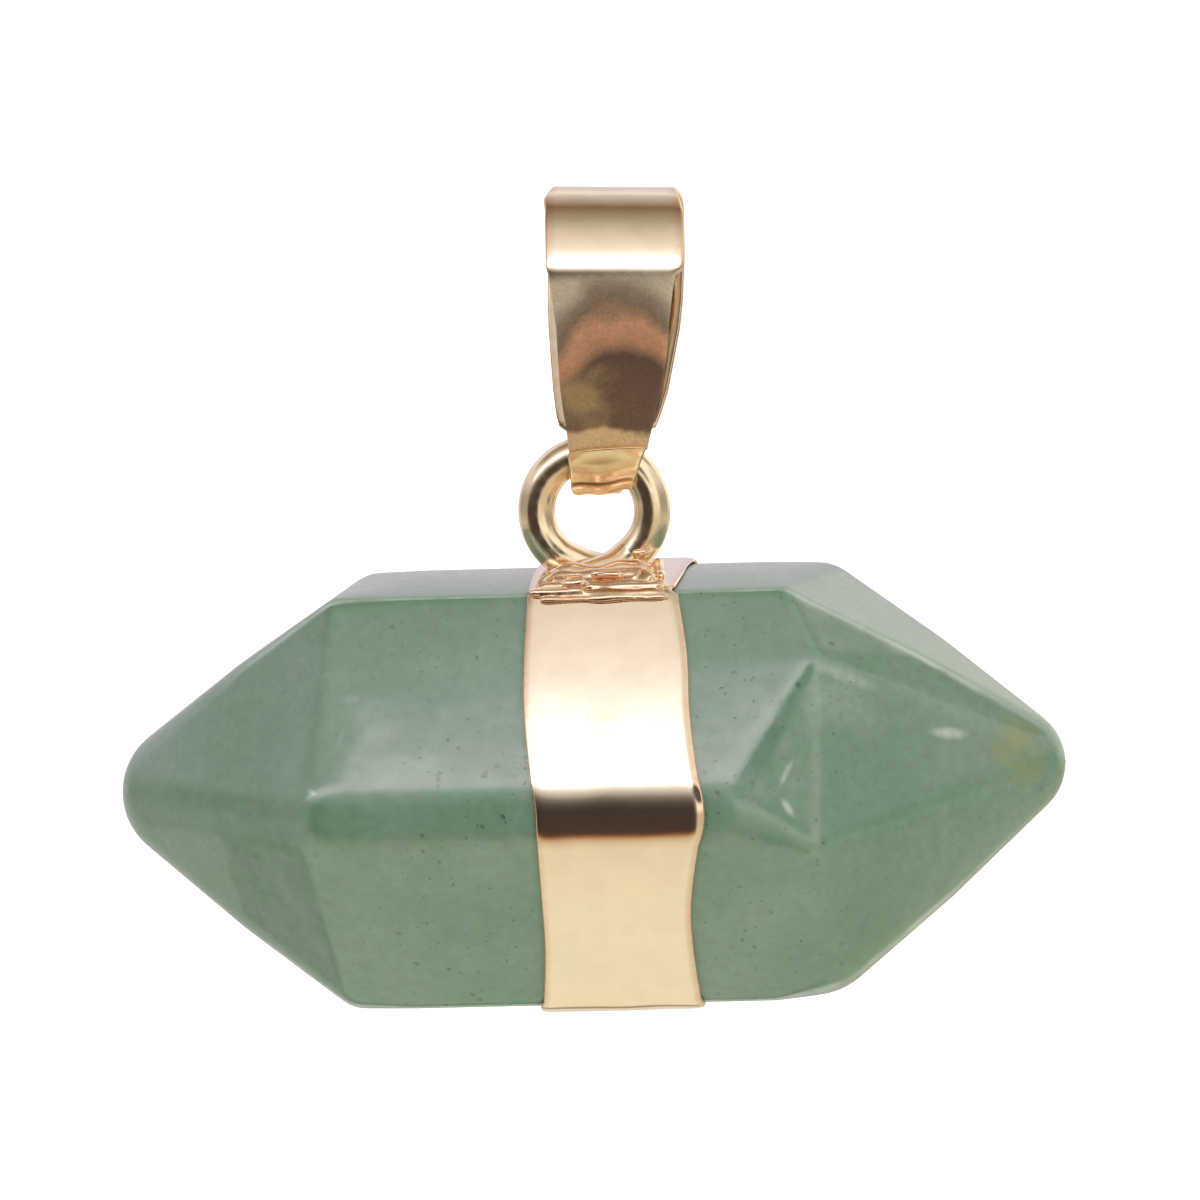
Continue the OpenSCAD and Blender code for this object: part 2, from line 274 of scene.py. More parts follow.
class GiltSizes(bpy.types.PropertyGroup):
    sheet: FloatProperty(name="Sheet", default=0.2,
                         description="Thickness of the collar's sheet, in millimetres")
    gap: FloatProperty(name="Gap", default=0.04,
                       description="Between the sheet and the stone, in millimetres")
    ring: FloatProperty(name="Ring", description="Outer diameter of the ring, in millimetres", default=5.8)
    wire: FloatProperty(name="Wire", description="Diameter of the ring's wire, in millimetres", default=1.4)
    strip: FloatProperty(name="Strip", default=0.35,
                         description="Thickness of the bail's strip, in millimetres")
    fold: FloatProperty(name="Fold", default=0.98,
                        description="Inner radius of the bail's fold, in millimetres")
    gold: FloatVectorProperty(name="Gold", description="Colour of the plating", subtype="COLOR", size=4,
                              default=(0.95, 0.80, 0.62, 1))
    # Copper is wear on the rims, and painted shade in the solder's hollows and on the toe's crease.
    copper: FloatVectorProperty(name="Copper", description="Colour in the seams and worn edges",
                                subtype="COLOR", size=4, default=(0.62, 0.24, 0.07, 1))


class StageSizes(bpy.types.PropertyGroup):
    lens: FloatProperty(name="Lens", description="Focal length, in millimetres", default=275.63)
    floor_drop: FloatProperty(name="Floor", description="Height of the floor", unit="LENGTH", default=-0.062)
    floor_radius: FloatProperty(name="Floor radius", description="Radius of the floor", unit="LENGTH",
                                default=1.8)


def select_only(*objects):
    bpy.ops.object.select_all(action="DESELECT")
    for one in objects:
        one.select_set(True)
    bpy.context.view_layer.objects.active = objects[0]


def name_piece(name):
    """Names the object that was just made."""
    piece = bpy.context.object
    piece.name = name
    piece.data.name = name
    return piece


def apply_modifier(piece, kind, **settings):
    select_only(piece)
    modifier = piece.modifiers.new(kind.title(), kind)
    for key, value in settings.items():
        setattr(modifier, key, value)
    bpy.ops.object.modifier_apply(modifier=modifier.name)


def face_outwards(piece):
    select_only(piece)
    bpy.ops.object.mode_set(mode="EDIT")
    bpy.ops.mesh.select_all(action="SELECT")
    bpy.ops.mesh.remove_doubles(threshold=0.0005)
    bpy.ops.mesh.normals_make_consistent(inside=False)
    bpy.ops.object.mode_set(mode="OBJECT")


def set_points(piece, points):
    piece.data.vertices.foreach_set("co", [value for point in points for value in point])
    piece.data.update()


def add_attribute(piece, name, values):
    attribute = piece.data.attributes.new(name, "FLOAT", "POINT")
    attribute.data.foreach_set("value", values)


def finish_piece(piece, body, replaced, material):
    """Brings a piece from millimetres to metres and ties it to the frame."""
    select_only(piece)
    bpy.ops.transform.resize(value=(MM, MM, MM), center_override=(0, 0, 0))
    bpy.ops.object.transform_apply(location=True, rotation=True, scale=True)
    bpy.ops.object.shade_smooth()
    piece.data.materials.clear()
    piece.data.materials.append(material)
    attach(piece, body)
    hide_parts(replaced)


def between(start, end, share):
    return start + (end - start) * share


def eased(share):
    share = min(1.0, max(0.0, share))
    return (1 - cos(pi * share)) / 2


def toward(angle):
    """The direction at an angle about X, in degrees from the back towards the top."""
    turn = radians(angle)
    return Vector((0, cos(turn), sin(turn)))


def look_up(rows, value):
    """The row of a table at a value of its first column, straight between its rows."""
    for low, high in zip(rows, rows[1:]):
        if value <= high[0]:
            break
    share = min(1.0, max(0.0, (value - low[0]) / (high[0] - low[0])))
    return [between(a, b, share) for a, b in zip(low, high)]


# Shapes of the stone and the collar

def corner_middle(angle, r, flats):
    """The middle of a rounding at an angle that touches the flats on both of its sides."""
    out = (flats / 2 - r) / cos(radians(FACE_TURN / 2))
    return toward(angle) * out


def face_circle(k, flats, crown):
    """Middle and radius of the wide arc that crowns the face after corner k, and the face's direction."""
    here, after = STONE_EDGES[k], STONE_EDGES[(k + 1) % len(STONE_EDGES)]
    facing = here.angle + FACE_TURN / 2
    start = corner_middle(here.angle, here.along_r, flats) + toward(facing - crown) * here.along_r
    end = corner_middle(after.angle, after.along_r, flats) + toward(facing + crown) * after.along_r
    half = (end - start).length / 2
    middle = (start + end) / 2 - toward(facing) * half / tan(radians(crown))
    return middle, half / sin(radians(crown)), facing


def round_the_stone(flats, crown, arc_steps, face_steps):
    """Stations round the stone: middle of curvature, radius, normal angle and place in BAND_EDGES."""
    stations = []
    for k, edge in enumerate(STONE_EDGES):
        middle = corner_middle(edge.angle, edge.along_r, flats)
        half_turn = FACE_TURN / 2 - crown
        for i in range(arc_steps + 1):
            turn = (2 * i / arc_steps - 1) * half_turn
            stations.append((middle, edge.along_r, edge.angle + turn, 2 * k + turn / FACE_TURN))
        wide_middle, wide_r, facing = face_circle(k, flats, crown)
        edge_place = half_turn / FACE_TURN
        for i in range(1, face_steps):
            turn = (2 * i / face_steps - 1) * crown
            place = 2 * k + between(edge_place, 2 - edge_place, i / face_steps)
            stations.append((wide_middle, wide_r, facing + turn, place))
    return stations


def band_edges(place):
    """The collar's left and right edges at a place between two rows of BAND_EDGES."""
    place = place % len(BAND_EDGES)
    row = floor(place)
    after = (row + 1) % len(BAND_EDGES)
    return [between(*ends, eased(place - row)) for ends in zip(BAND_EDGES[row], BAND_EDGES[after])]


def shoulder_of(edge, side):
    """An edge's shoulder on one side: x and rounding."""
    return (edge.left, edge.left_r) if side == LEFT else (edge.right, edge.right_r)


def stone_hull(sizes):
    """The stone's plain form: a hull round a ball at every shoulder and point, and its crowned faces."""
    balls = []
    shoulders = {LEFT: [], RIGHT: []}
    for edge in STONE_EDGES:
        for side in (LEFT, RIGHT):
            shoulder, r = shoulder_of(edge, side)
            middle = corner_middle(edge.angle, r, sizes.flats)
            middle.x = shoulder - side * SHOULDER_PULL * r
            balls.append((middle, r))
            shoulders[side].append((edge.angle, middle, r))
    for side, r, rise in TIPS:
        tip = Vector((side * (sizes.length / 2 - r), 0, rise))
        balls.append((tip, r))
        for angle, middle, shoulder_r in shoulders[side]:
            outwards = toward(angle) * POINT_SWELL
            balls.append((middle.lerp(tip, 0.5) + outwards, between(shoulder_r, r, 0.5)))
    for edge in STONE_EDGES:
        for side in (LEFT, RIGHT):
            along = Vector((strip_end(edge, side), 0, 0))
            balls.append((corner_middle(edge.angle, edge.along_r, sizes.flats) + along, edge.along_r))
    balls += [(Vector(row[:3]), row[3]) for row in RIGHT_SHOULDERS]
    made = []
    for middle, r in balls:
        bpy.ops.mesh.primitive_uv_sphere_add(segments=64, ring_count=32, radius=r, location=middle,
                                             rotation=(0, pi / 2, 0))
        made.append(bpy.context.object)
    made.append(crown_strips(sizes))
    select_only(*made)
    bpy.ops.object.join()
    hull = name_piece("stone_hull")
    bpy.ops.object.transform_apply(location=True, rotation=True, scale=True)
    bpy.ops.object.mode_set(mode="EDIT")
    bpy.ops.mesh.select_all(action="SELECT")
    bpy.ops.mesh.convex_hull()
    bpy.ops.object.mode_set(mode="OBJECT")
    return hull


def strip_end(edge, side):
    """The x up to which a crowned face runs along an edge."""
    shoulder, r = shoulder_of(edge, side)
    return shoulder - side * (WIDENING if r > edge.along_r else SHOULDER_PULL * r)


def crown_strips(sizes):
    """A grid whose points lie on the six crowned faces."""
    across = 13
    bpy.ops.mesh.primitive_grid_add(x_subdivisions=across * len(STONE_EDGES) - 1, y_subdivisions=1, size=1)
    strips = bpy.context.object
    points = []
    for side in (LEFT, RIGHT):
        for k, edge in enumerate(STONE_EDGES):
            after = STONE_EDGES[(k + 1) % len(STONE_EDGES)]
            middle, r, facing = face_circle(k, sizes.flats, sizes.crown)
            for i in range(across):
                share = i / (across - 1)
                point = middle + toward(facing + (2 * share - 1) * sizes.crown) * r
                point.x = between(strip_end(edge, side), strip_end(after, side), share)
                points.append(point)
    set_points(strips, points)
    return strips


def closed_band(name, rings):
    """A band closed both ways, from a torus whose points are moved to the rings' points."""
    bpy.ops.mesh.primitive_torus_add(major_segments=len(rings), minor_segments=len(rings[0]))
    band = name_piece(name)
    set_points(band, [point for ring in rings for point in ring])
    return band


def tubes(name, paths, place):
    """A round tube along each path of x, y, height and radius, as one mesh."""
    bpy.ops.curve.primitive_nurbs_path_add()
    piece = name_piece(name)
    curve = piece.data
    curve.splines.clear()
    for path in paths:
        spline = curve.splines.new("NURBS")
        spline.points.add(len(path) - 1)
        for point, (x, y, z, radius) in zip(spline.points, path):
            point.co = (x, y, z, 1)
            point.radius = radius
        spline.use_endpoint_u = True
        spline.order_u = 4
    curve.resolution_u = 6
    curve.dimensions = "3D"
    curve.bevel_depth = 1.0
    curve.bevel_resolution = 8
    curve.use_fill_caps = True
    piece.location = place
    select_only(piece)
    bpy.ops.object.convert(target="MESH")
    bpy.ops.object.transform_apply(location=True, rotation=True, scale=True)
    return piece


def strand_path(x0, y0, z0, x1, y1, z1, radius):
    """A wandering path for one strand, thin at both ends."""
    steps = 6
    past_end, end_share = 0.7, 0.35    # of the strand's radius, as are the wander and the swell
    wander_share, swell_share = 0.35, 0.25
    start, end = Vector((x0, y0, z0)), Vector((x1, y1, z1))
    along = (end - start).normalized() * radius
    path = [(*(start - along * past_end), radius * end_share)]
    for i in range(steps + 1):
        point = start.lerp(end, i / steps)
        wander = noise.noise_vector(point * 1.7) * radius * wander_share
        path.append((*(point + wander), radius * (1 + swell_share * noise.noise(point * 2.3))))
    path.append((*(end + along * past_end), radius * end_share))
    return path


def strip_section(left, right, thickness, rim, spans):
    """Points round a strip's cross-section: x, depth below the outer face, and 1 on its rounded rims."""
    steps = 4
    quarter = [(1 - cos(pi / 2 * i / steps), 1 - sin(pi / 2 * i / steps)) for i in range(steps + 1)]
    width = right - left
    section = [(left + rim * a, rim * b, 1) for a, b in quarter]
    section += [(left + rim + (width - 2 * rim) * i / spans, 0, 0) for i in range(1, spans)]
    section += [(right - rim * a, rim * b, 1) for a, b in reversed(quarter)]
    section += [(right - rim * a, thickness - rim * b, 1) for a, b in quarter]
    section += [(right - rim - (width - 2 * rim) * i / spans, thickness, 0) for i in range(1, spans)]
    section += [(left + rim * a, thickness - rim * b, 1) for a, b in reversed(quarter)]
    return section


# Shapes of the bail

def roll_point(angle):
    """A point of the bail's round top, which is flatter in front, by its normal's angle."""
    top_r, front_r = 3.14, 7.2
    change = radians(36.5)
    round_angle = max(angle, change)
    y = -top_r * cos(round_angle)
    z = BAIL_HEIGHT - top_r * (1 - sin(round_angle))
    if angle < change:
        y -= front_r * (cos(angle) - cos(change))
        z -= front_r * (sin(change) - sin(angle))
    return Vector((0, y, z))


def bail_front(fold_r, steps):
    """The strip's outer line in front, from its lowest point to its highest: points and normal angles."""
    bend = radians(23.0)
    pull = 0.35    # the leg turns into the round top over this length on each side of their corner
    leg_steps, corner_steps, roll_steps = 3 * steps, steps // 2, 2 * steps
    fold_middle = Vector((0, 0, fold_r))
    roll_start = roll_point(bend)
    corner = roll_start - Vector((0, sin(bend), cos(bend))) * pull
    reach = corner - fold_middle
    leg = atan2(reach.z, -reach.y) - acos(fold_r / hypot(reach.y, reach.z))
    front = []
    for i in range(steps):
        angle = between(-pi / 2, leg, i / steps)
        front.append((fold_middle + Vector((0, -cos(angle), sin(angle))) * fold_r, angle))
    leg_start = fold_middle + Vector((0, -cos(leg), sin(leg))) * fold_r
    up = (corner - leg_start).normalized()
    leg_end = corner - up * pull
    for i in range(leg_steps):
        front.append((leg_start.lerp(leg_end, i / leg_steps), leg))
    for i in range(corner_steps):
        share = i / corner_steps
        point = leg_end.lerp(corner, share).lerp(corner.lerp(roll_start, share), share)
        front.append((point, between(leg, bend, share)))
    for i in range(roll_steps + 1):
        angle = between(bend, pi / 2, i / roll_steps)
        front.append((roll_point(angle), angle))
    return front


def lean_bail(point):
    """From heights above the bail's lowest point to the part's frame, leaning about the chain's axis."""
    turn = radians(BAIL_LEAN)
    x, y, z = point.x, point.y, point.z - ROLL_AXIS
    return Vector((x * cos(turn) + z * sin(turn), y, z * cos(turn) - x * sin(turn)))


# Materials

def feed(tree, node, inputs):
    """Sets a node's inputs; each may be a value or the output that feeds it."""
    for key, value in inputs.items():
        if isinstance(value, bpy.types.NodeSocket):
            tree.links.new(value, node.inputs[key])
        else:
            node.inputs[key].default_value = value


def put(tree, kind, inputs=None, **settings):
    """Adds a node with its settings and inputs."""
    made = tree.nodes.new(kind)
    for name, value in settings.items():
        setattr(made, name, value)
    feed(tree, made, inputs or {})
    return made


def new_material(name):
    material = bpy.data.materials.new(name)
    material.use_nodes = True
    return material, material.node_tree, material.node_tree.nodes["Principled BSDF"]


def millimetre_coordinates(tree):
    place = put(tree, "ShaderNodeTexCoord")
    return put(tree, "ShaderNodeMapping", {"Vector": place.outputs["Object"],
                                           "Scale": (1 / MM, 1 / MM, 1 / MM)}).outputs["Vector"]


def noise_of(tree, vector, scale, detail=3.0, roughness=0.5):
    return put(tree, "ShaderNodeTexNoise", {"Vector": vector, "Scale": scale, "Detail": detail,
                                            "Roughness": roughness}).outputs["Fac"]


def ranged(tree, value, low, high, to_low=0.0, to_high=1.0, smooth=True):
    return put(tree, "ShaderNodeMapRange", {"Value": value, "From Min": low, "From Max": high,
                                            "To Min": to_low, "To Max": to_high},
               interpolation_type="SMOOTHSTEP" if smooth else "LINEAR").outputs["Result"]


def mixed(tree, share, first, second, blend="MIX"):
    """Two colours mixed; a mix node keeps its colours in inputs 6 and 7 and output 2."""
    return put(tree, "ShaderNodeMix", {0: share, 6: first, 7: second}, data_type="RGBA",
               blend_type=blend).outputs[2]


def worked(tree, operation, first, second=0.0):
    return put(tree, "ShaderNodeMath", {0: first, 1: second}, operation=operation).outputs[0]


def folded(tree, operation, first, *others):
    """One value from several, taken in one after the other."""
    for other in others:
        first = worked(tree, operation, first, other)
    return first


def split(tree, vector):
    """A vector's three parts, named X, Y and Z."""
    return put(tree, "ShaderNodeSeparateXYZ", {0: vector}).outputs


def grey_of(tree, value):
    return put(tree, "ShaderNodeCombineColor", {0: value, 1: value, 2: value}).outputs[0]


def toned(tree, colour, value):
    """A colour with its brightness multiplied by a value."""
    return mixed(tree, 1.0, colour, grey_of(tree, value), "MULTIPLY")


def distance(tree, where, place):
    return put(tree, "ShaderNodeVectorMath", {0: where, 1: place}, operation="DISTANCE").outputs["Value"]


def set_stops(ramp, stops, brightest=1.0):
    """Fills a colour ramp from rows of place, red, green and blue."""
    band = ramp.color_ramp
    for row in stops[1:-1]:
        band.elements.new(row[0])
    for stop, (_, *colour) in zip(band.elements, stops):
        stop.color = (*[value / brightest for value in colour], 1)


def painted_glints_and_clouds(tree, where):
    """How strongly the painted glints and milky clouds cover a place on the front."""
    front = ranged(tree, split(tree, where)["Y"], -2.5, -3.5)
    any_depth = 1000
    marks = []
    for x, height, half_length, half_width, turn, strength in GLINTS_AND_CLOUDS:
        place = STONE_MIDDLE + Vector((x, 0, height))
        local = put(tree, "ShaderNodeMapping",
                    {"Vector": where, "Location": place, "Rotation": (0, radians(turn), 0),
                     "Scale": (half_length, any_depth, half_width)}, vector_type="TEXTURE")
        away = put(tree, "ShaderNodeVectorMath", {0: local.outputs[0]}, operation="LENGTH").outputs["Value"]
        marks.append(ranged(tree, away, 1.0, 0.1, 0.0, strength))
    uneven = ranged(tree, noise_of(tree, where, 3.0, 4.0), 0.3, 0.65, 0.55, 1.0)
    return folded(tree, "MULTIPLY", folded(tree, "MAXIMUM", *marks), front, uneven)


def painted_edge_highlights(tree, where):
    """Painted highlights: thin pale lines along the long edges, where the turn attributes pass through
    nothing.
    """
    lines = []
    for name in EDGE_TURNS:
        turn = worked(tree, "ABSOLUTE", put(tree, "ShaderNodeAttribute", attribute_name=name).outputs["Fac"])
        lines.append(ranged(tree, turn, 0.17, 0.04))
    off_points = ranged(tree, worked(tree, "ABSOLUTE", split(tree, where)["X"]), 16.5, 11.0)
    uneven = ranged(tree, noise_of(tree, where, 0.9, 3.0), 0.3, 0.65, 0.25, 0.6)
    return folded(tree, "MULTIPLY", folded(tree, "MAXIMUM", *lines), off_points, uneven)


def dark_specks(tree, where):
    """How strongly the dark specks cover a place: two sizes, in patches, fewer on the points."""
    wander = put(tree, "ShaderNodeTexNoise", {"Vector": where, "Scale": 2.5}).outputs["Color"]
    moved = put(tree, "ShaderNodeVectorMath", {0: wander, 1: (0.35, 0.35, 0.35), 2: where},
                operation="MULTIPLY_ADD")
    spots = []
    for scale, without, largest in SPECKS:
        cells = put(tree, "ShaderNodeTexVoronoi", {"Vector": moved.outputs[0], "Scale": scale})
        chance = put(tree, "ShaderNodeSeparateColor", {0: cells.outputs["Color"]}).outputs[0]
        size = ranged(tree, chance, without, 1.0, 0.0, largest, smooth=False)
        spots.append(ranged(tree, worked(tree, "SUBTRACT", size, cells.outputs["Distance"]), 0.0, 0.10))
    patchy = ranged(tree, noise_of(tree, where, 0.35, 2.0), 0.35, 0.65, 0.25, 0.65)
    body = ranged(tree, worked(tree, "ABSOLUTE", split(tree, where)["X"]), 7.0, 10.0, 1.0, 0.35)
    return folded(tree, "MULTIPLY", folded(tree, "MAXIMUM", *spots), patchy, body)


def aventurine(sizes):
    material, tree, shader = new_material("aventurine")
    where = millimetre_coordinates(tree)
    clouds = ranged(tree, noise_of(tree, where, 0.16, 4.0, 0.6), 0.36, 0.66)
    colour = mixed(tree, clouds, sizes.body, sizes.pale)
    grain = ranged(tree, noise_of(tree, where, 2.2, 5.0, 0.7), 0.3, 0.7, 0.90, 1.10, smooth=False)
    colour = toned(tree, colour, grain)
    stain = worked(tree, "MULTIPLY", ranged(tree, distance(tree, where, STAIN_PLACE), 1.9, 0.3, 0.0, 0.75),
                   ranged(tree, noise_of(tree, where, 0.8), 0.3, 0.6))
    colour = mixed(tree, stain, colour, sizes.stain)
    # Painted highlights: the glints and milky clouds in a pale colour, then pale lines along the edges
    colour = mixed(tree, painted_glints_and_clouds(tree, where), colour, sizes.glint_and_milk)
    colour = mixed(tree, painted_edge_highlights(tree, where), colour, sizes.glint_and_milk)
    speck = dark_specks(tree, where)
    colour = mixed(tree, speck, colour, sizes.speck)
    rough = ranged(tree, noise_of(tree, where, 1.1, 4.0), 0.3, 0.7, 0.12, 0.19)
    swell = noise_of(tree, where, 0.45, 2.0)
    bump = put(tree, "ShaderNodeBump", {"Height": swell, "Strength": 0.35, "Distance": 0.00012})
    pits = put(tree, "ShaderNodeBump", {"Height": speck, "Strength": 0.5, "Distance": 0.00001,
                                        "Normal": bump.outputs[0]}, invert=True)
    feed(tree, shader, {"Base Color": colour, "Subsurface Weight": 0.7, "Subsurface Radius": (0.9, 1.3, 0.9),
                        "Subsurface Scale": 0.0011, "IOR": 1.85, "Roughness": rough,
                        "Normal": pits.outputs[0]})
    return material


def gilt(name, sizes, roughness=0.09, marked="rim", tint=None, wave=0.3):
    """Polished plating that turns to copper by an attribute: wear on rims, painted shade in the solder's
    hollows and on the toe's crease.
    """
    material, tree, shader = new_material(name)
    where = millimetre_coordinates(tree)
    tone = ranged(tree, noise_of(tree, where, 0.9, 4.0), 0.3, 0.7, 0.95, 1.0)
    colour = toned(tree, tint or sizes.gold, tone)
    wear_and_shade = put(tree, "ShaderNodeAttribute", attribute_name=marked).outputs["Fac"]
    blotch = ranged(tree, noise_of(tree, where, 2.6, 5.0), 0.3, 0.62, 0.6, 1.0)
    # Copper on worn rims is wear; in the solder's hollows and on the toe's crease it is painted shade.
    colour = mixed(tree, worked(tree, "MULTIPLY", wear_and_shade, blotch), colour, sizes.copper)
    rough = ranged(tree, noise_of(tree, where, 3.0, 5.0), 0.3, 0.75, roughness * 0.8, roughness * 1.5)
    swell = noise_of(tree, where, 0.7, 2.0)
    bump = put(tree, "ShaderNodeBump", {"Height": swell, "Strength": wave, "Distance": 0.00004})
    grain = put(tree, "ShaderNodeBump", {"Height": noise_of(tree, where, 14.0, 3.0), "Strength": 0.15,
                                         "Distance": 0.000004, "Normal": bump.outputs[0]})
    feed(tree, shader, {"Base Color": colour, "Metallic": 1.0, "Roughness": rough,
                        "Normal": grain.outputs[0]})
    return material


def gilt_bail(sizes):
    """The bail's plating, with painted reflections in brown, rust and olive down the front leg."""
    material = gilt("gilt_bail", sizes, tint=(0.88, 0.73, 0.54, 1))
    tree = material.node_tree
    shader = tree.nodes["Principled BSDF"]
    where = millimetre_coordinates(tree)
    plain = split(tree, where)
    wander = noise_of(tree, where, 0.6, 3.0, 0.45)
    aside = worked(tree, "SUBTRACT", plain["X"], ARCH_MIDDLE)
    arch = folded(tree, "MULTIPLY", aside, aside, ARCH_BEND)
    raised = ranged(tree, wander, 0.25, 0.75, 0.35, 1.15, smooth=False)
    height = folded(tree, "ADD", plain["Z"], arch, raised)
    # Painted reflection: brown, rust and beige bands by height, bent into an arch.
    ramp = put(tree, "ShaderNodeValToRGB", {0: ranged(tree, height, *LEG_REFLECTION_SPAN, smooth=False)})
    set_stops(ramp, LEG_REFLECTION)
    # Painted reflection of the green stone as an olive patch.
    patch = worked(tree, "ADD", distance(tree, where, OLIVE_REFLECTION_PLACE),
                   ranged(tree, wander, 0.3, 0.7, -0.6, 0.6, smooth=False))
    reflected = mixed(tree, ranged(tree, patch, 1.6, 0.3, 0.0, 0.9), ramp.outputs[0], OLIVE_REFLECTION)
    # Painted reflection in tan low on the leg, above the toe.
    uneven = ranged(tree, wander, 0.3, 0.7, -0.3, 0.3, smooth=False)
    foot = ranged(tree, worked(tree, "ADD", plain["Z"], uneven), -6.05, -6.4)
    reflected = mixed(tree, foot, reflected, FOOT_REFLECTION)
    grain = ranged(tree, noise_of(tree, where, 9.0, 4.0, 0.7), 0.3, 0.7, 0.8, 1.2, smooth=False)
    reflected = toned(tree, reflected, grain)
    below = ranged(tree, plain["Z"], 0.12, -0.45)
    above = ranged(tree, plain["Z"], -7.3, -7.0)
    front = ranged(tree, plain["Y"], -1.0, -1.35)
    mask = folded(tree, "MULTIPLY", below, above, front)
    clean_colour = shader.inputs["Base Color"].links[0].from_socket
    clean_rough = shader.inputs["Roughness"].links[0].from_socket
    dull = ranged(tree, mask, 0.0, 1.0, 0.0, 0.34, smooth=False)
    feed(tree, shader, {"Base Color": mixed(tree, mask, clean_colour, reflected),
                        "Roughness": worked(tree, "ADD", clean_rough, dull),
                        "Metallic": ranged(tree, mask, 0.0, 1.0, 1.0, 0.45, smooth=False)})
    return material


class PENDANT_OT_stone(bpy.types.Operator):
    """Make the polished stone"""
    bl_idname = "pendant.stone"
    bl_label = "Stone"

    def execute(self, context):
        sizes = context.scene.pendant_stone
        hull = stone_hull(sizes)
        select_only(hull)
        bpy.ops.object.duplicate()
        stone = name_piece("stone_bar")
        apply_modifier(stone, "REMESH", mode="VOXEL", voxel_size=0.2)
        apply_modifier(stone, "SHRINKWRAP", target=hull, wrap_method="NEAREST_SURFACEPOINT")
        apply_modifier(stone, "SMOOTH", factor=0.5, iterations=6)
        bpy.data.objects.remove(hull)
        stone.location = STONE_MIDDLE
        bpy.ops.object.transform_apply(location=True, rotation=True, scale=True)
        for name, angle in EDGE_TURNS.items():
            add_attribute(stone, name, [vertex.normal.dot(toward(angle)) for vertex in stone.data.vertices])
        finish_piece(stone, "drop", "stone", aventurine(sizes))
        return {"FINISHED"}


class PENDANT_OT_collar_sheet(bpy.types.Operator):
    """Wrap the gilt sheet round the stone"""
    bl_idname = "pendant.collar_sheet"
    bl_label = "Collar sheet"

    def execute(self, context):
        stone, sizes = context.scene.pendant_stone, context.scene.pendant_gilt
        fall, fall_width, dent = 0.07, 0.45, 0.02    # how the outer face falls to its edges, and its dents
        rings, rims = [], []
        for middle, r, angle, place in round_the_stone(stone.flats, stone.crown, arc_steps=14, face_steps=16):
            normal = toward(angle)
            outer = middle + normal * (r + sizes.gap + sizes.sheet)
            left, right = band_edges(place)
            ring = []
            for x, depth, rim in strip_section(left, right, sizes.sheet, rim=0.07, spans=26):
                if depth < sizes.sheet / 2:
                    nearest = min(x - left, right - x)
                    depth += fall * max(0.0, 1 - nearest / fall_width) ** 2
                    depth += dent * noise.noise(Vector((x * 0.55, place * 1.6, 3.1)))
                ring.append(STONE_MIDDLE + outer - normal * depth + Vector((x, 0, 0)))
                rims.append(RIM_WEAR * rim)
            rings.append(ring)
        sheet = closed_band("collar_sheet", rings)
        add_attribute(sheet, "rim", rims)
        face_outwards(sheet)
        finish_piece(sheet, "drop", "collar", gilt("gilt_sheet", sizes, wave=0.15))
        return {"FINISHED"}


class PENDANT_OT_collar_ring(bpy.types.Operator):
    """Bend the wire into the ring and cross its ends"""
    bl_idname = "pendant.collar_ring"
    bl_label = "Collar ring"

    def execute(self, context):
        sizes = context.scene.pendant_gilt
        ring_r = (sizes.ring - sizes.wire) / 2
        path = list(BACK_LEG)
        steps = 40
        for i in range(steps + 1):
            angle = radians(between(180 + LEG_TURN, -LEG_TURN, i / steps))
            path.append((ring_r * cos(angle), 0, ring_r * sin(angle), sizes.wire / 2))
        path += FRONT_LEG
        ring = tubes("collar_ring", [path], STONE_MIDDLE + Vector((RING_SHIFT, 0, RING_HEIGHT)))
        face_outwards(ring)
        add_attribute(ring, "rim", [0.0] * len(ring.data.vertices))
        finish_piece(ring, "drop", "collar",
                     gilt("gilt_wire", sizes, roughness=0.18, tint=(0.95, 0.77, 0.56, 1), wave=0.8))
        return {"FINISHED"}


def hollow_values(piece):
    """How sunken each point lies between its neighbours, from 0 to 1, a little blurred."""
    mesh = piece.data
    blur_rounds = 3
    sums = [Vector() for _ in mesh.vertices]
    counts = [0] * len(mesh.vertices)
    pairs = [tuple(edge.vertices) for edge in mesh.edges]
    for a, b in pairs:
        sums[a] += mesh.vertices[b].co
        sums[b] += mesh.vertices[a].co
        counts[a] += 1
        counts[b] += 1
    values = [(total / count - vertex.co).dot(vertex.normal)
              for total, count, vertex in zip(sums, counts, mesh.vertices)]
    for _ in range(blur_rounds):
        spread = list(values)
        for a, b in pairs:
            spread[a] += values[b]
            spread[b] += values[a]
        values = [value / (count + 1) for value, count in zip(spread, counts)]
    return [min(1.0, max(0.0, value / FULL_HOLLOW)) for value in values]


class PENDANT_OT_collar_solder(bpy.types.Operator):
    """Melt the strands of metal on the collar's top"""
    bl_idname = "pendant.collar_solder"
    bl_label = "Solder"

    def execute(self, context):
        stone, sizes = context.scene.pendant_stone, context.scene.pendant_gilt
        top = STONE_MIDDLE + Vector((0, 0, stone.flats / 2 + sizes.gap + sizes.sheet))
        noise.seed_set(STRAND_SEED)
        solder = tubes("collar_solder", [strand_path(*row) for row in STRANDS], top)
        apply_modifier(solder, "REMESH", mode="VOXEL", voxel_size=0.055)
        apply_modifier(solder, "SMOOTH", factor=0.5, iterations=9)
        large, small = 0.06, 0.015    # two swells of the surface
        points = []
        for vertex in solder.data.vertices:
            place = vertex.co
            swell = large * noise.noise(place * 1.3) + small * noise.noise(place * 2.6)
            points.append(place + vertex.normal * swell)
        set_points(solder, points)
        # The crevice attribute paints shade in copper into the hollows between the strands.
        add_attribute(solder, "crevice", hollow_values(solder))
        finish_piece(solder, "drop", "collar",
                     gilt("gilt_solder", sizes, roughness=0.22, marked="crevice",
                          tint=(0.95, 0.71, 0.50, 1), wave=0.4))
        return {"FINISHED"}


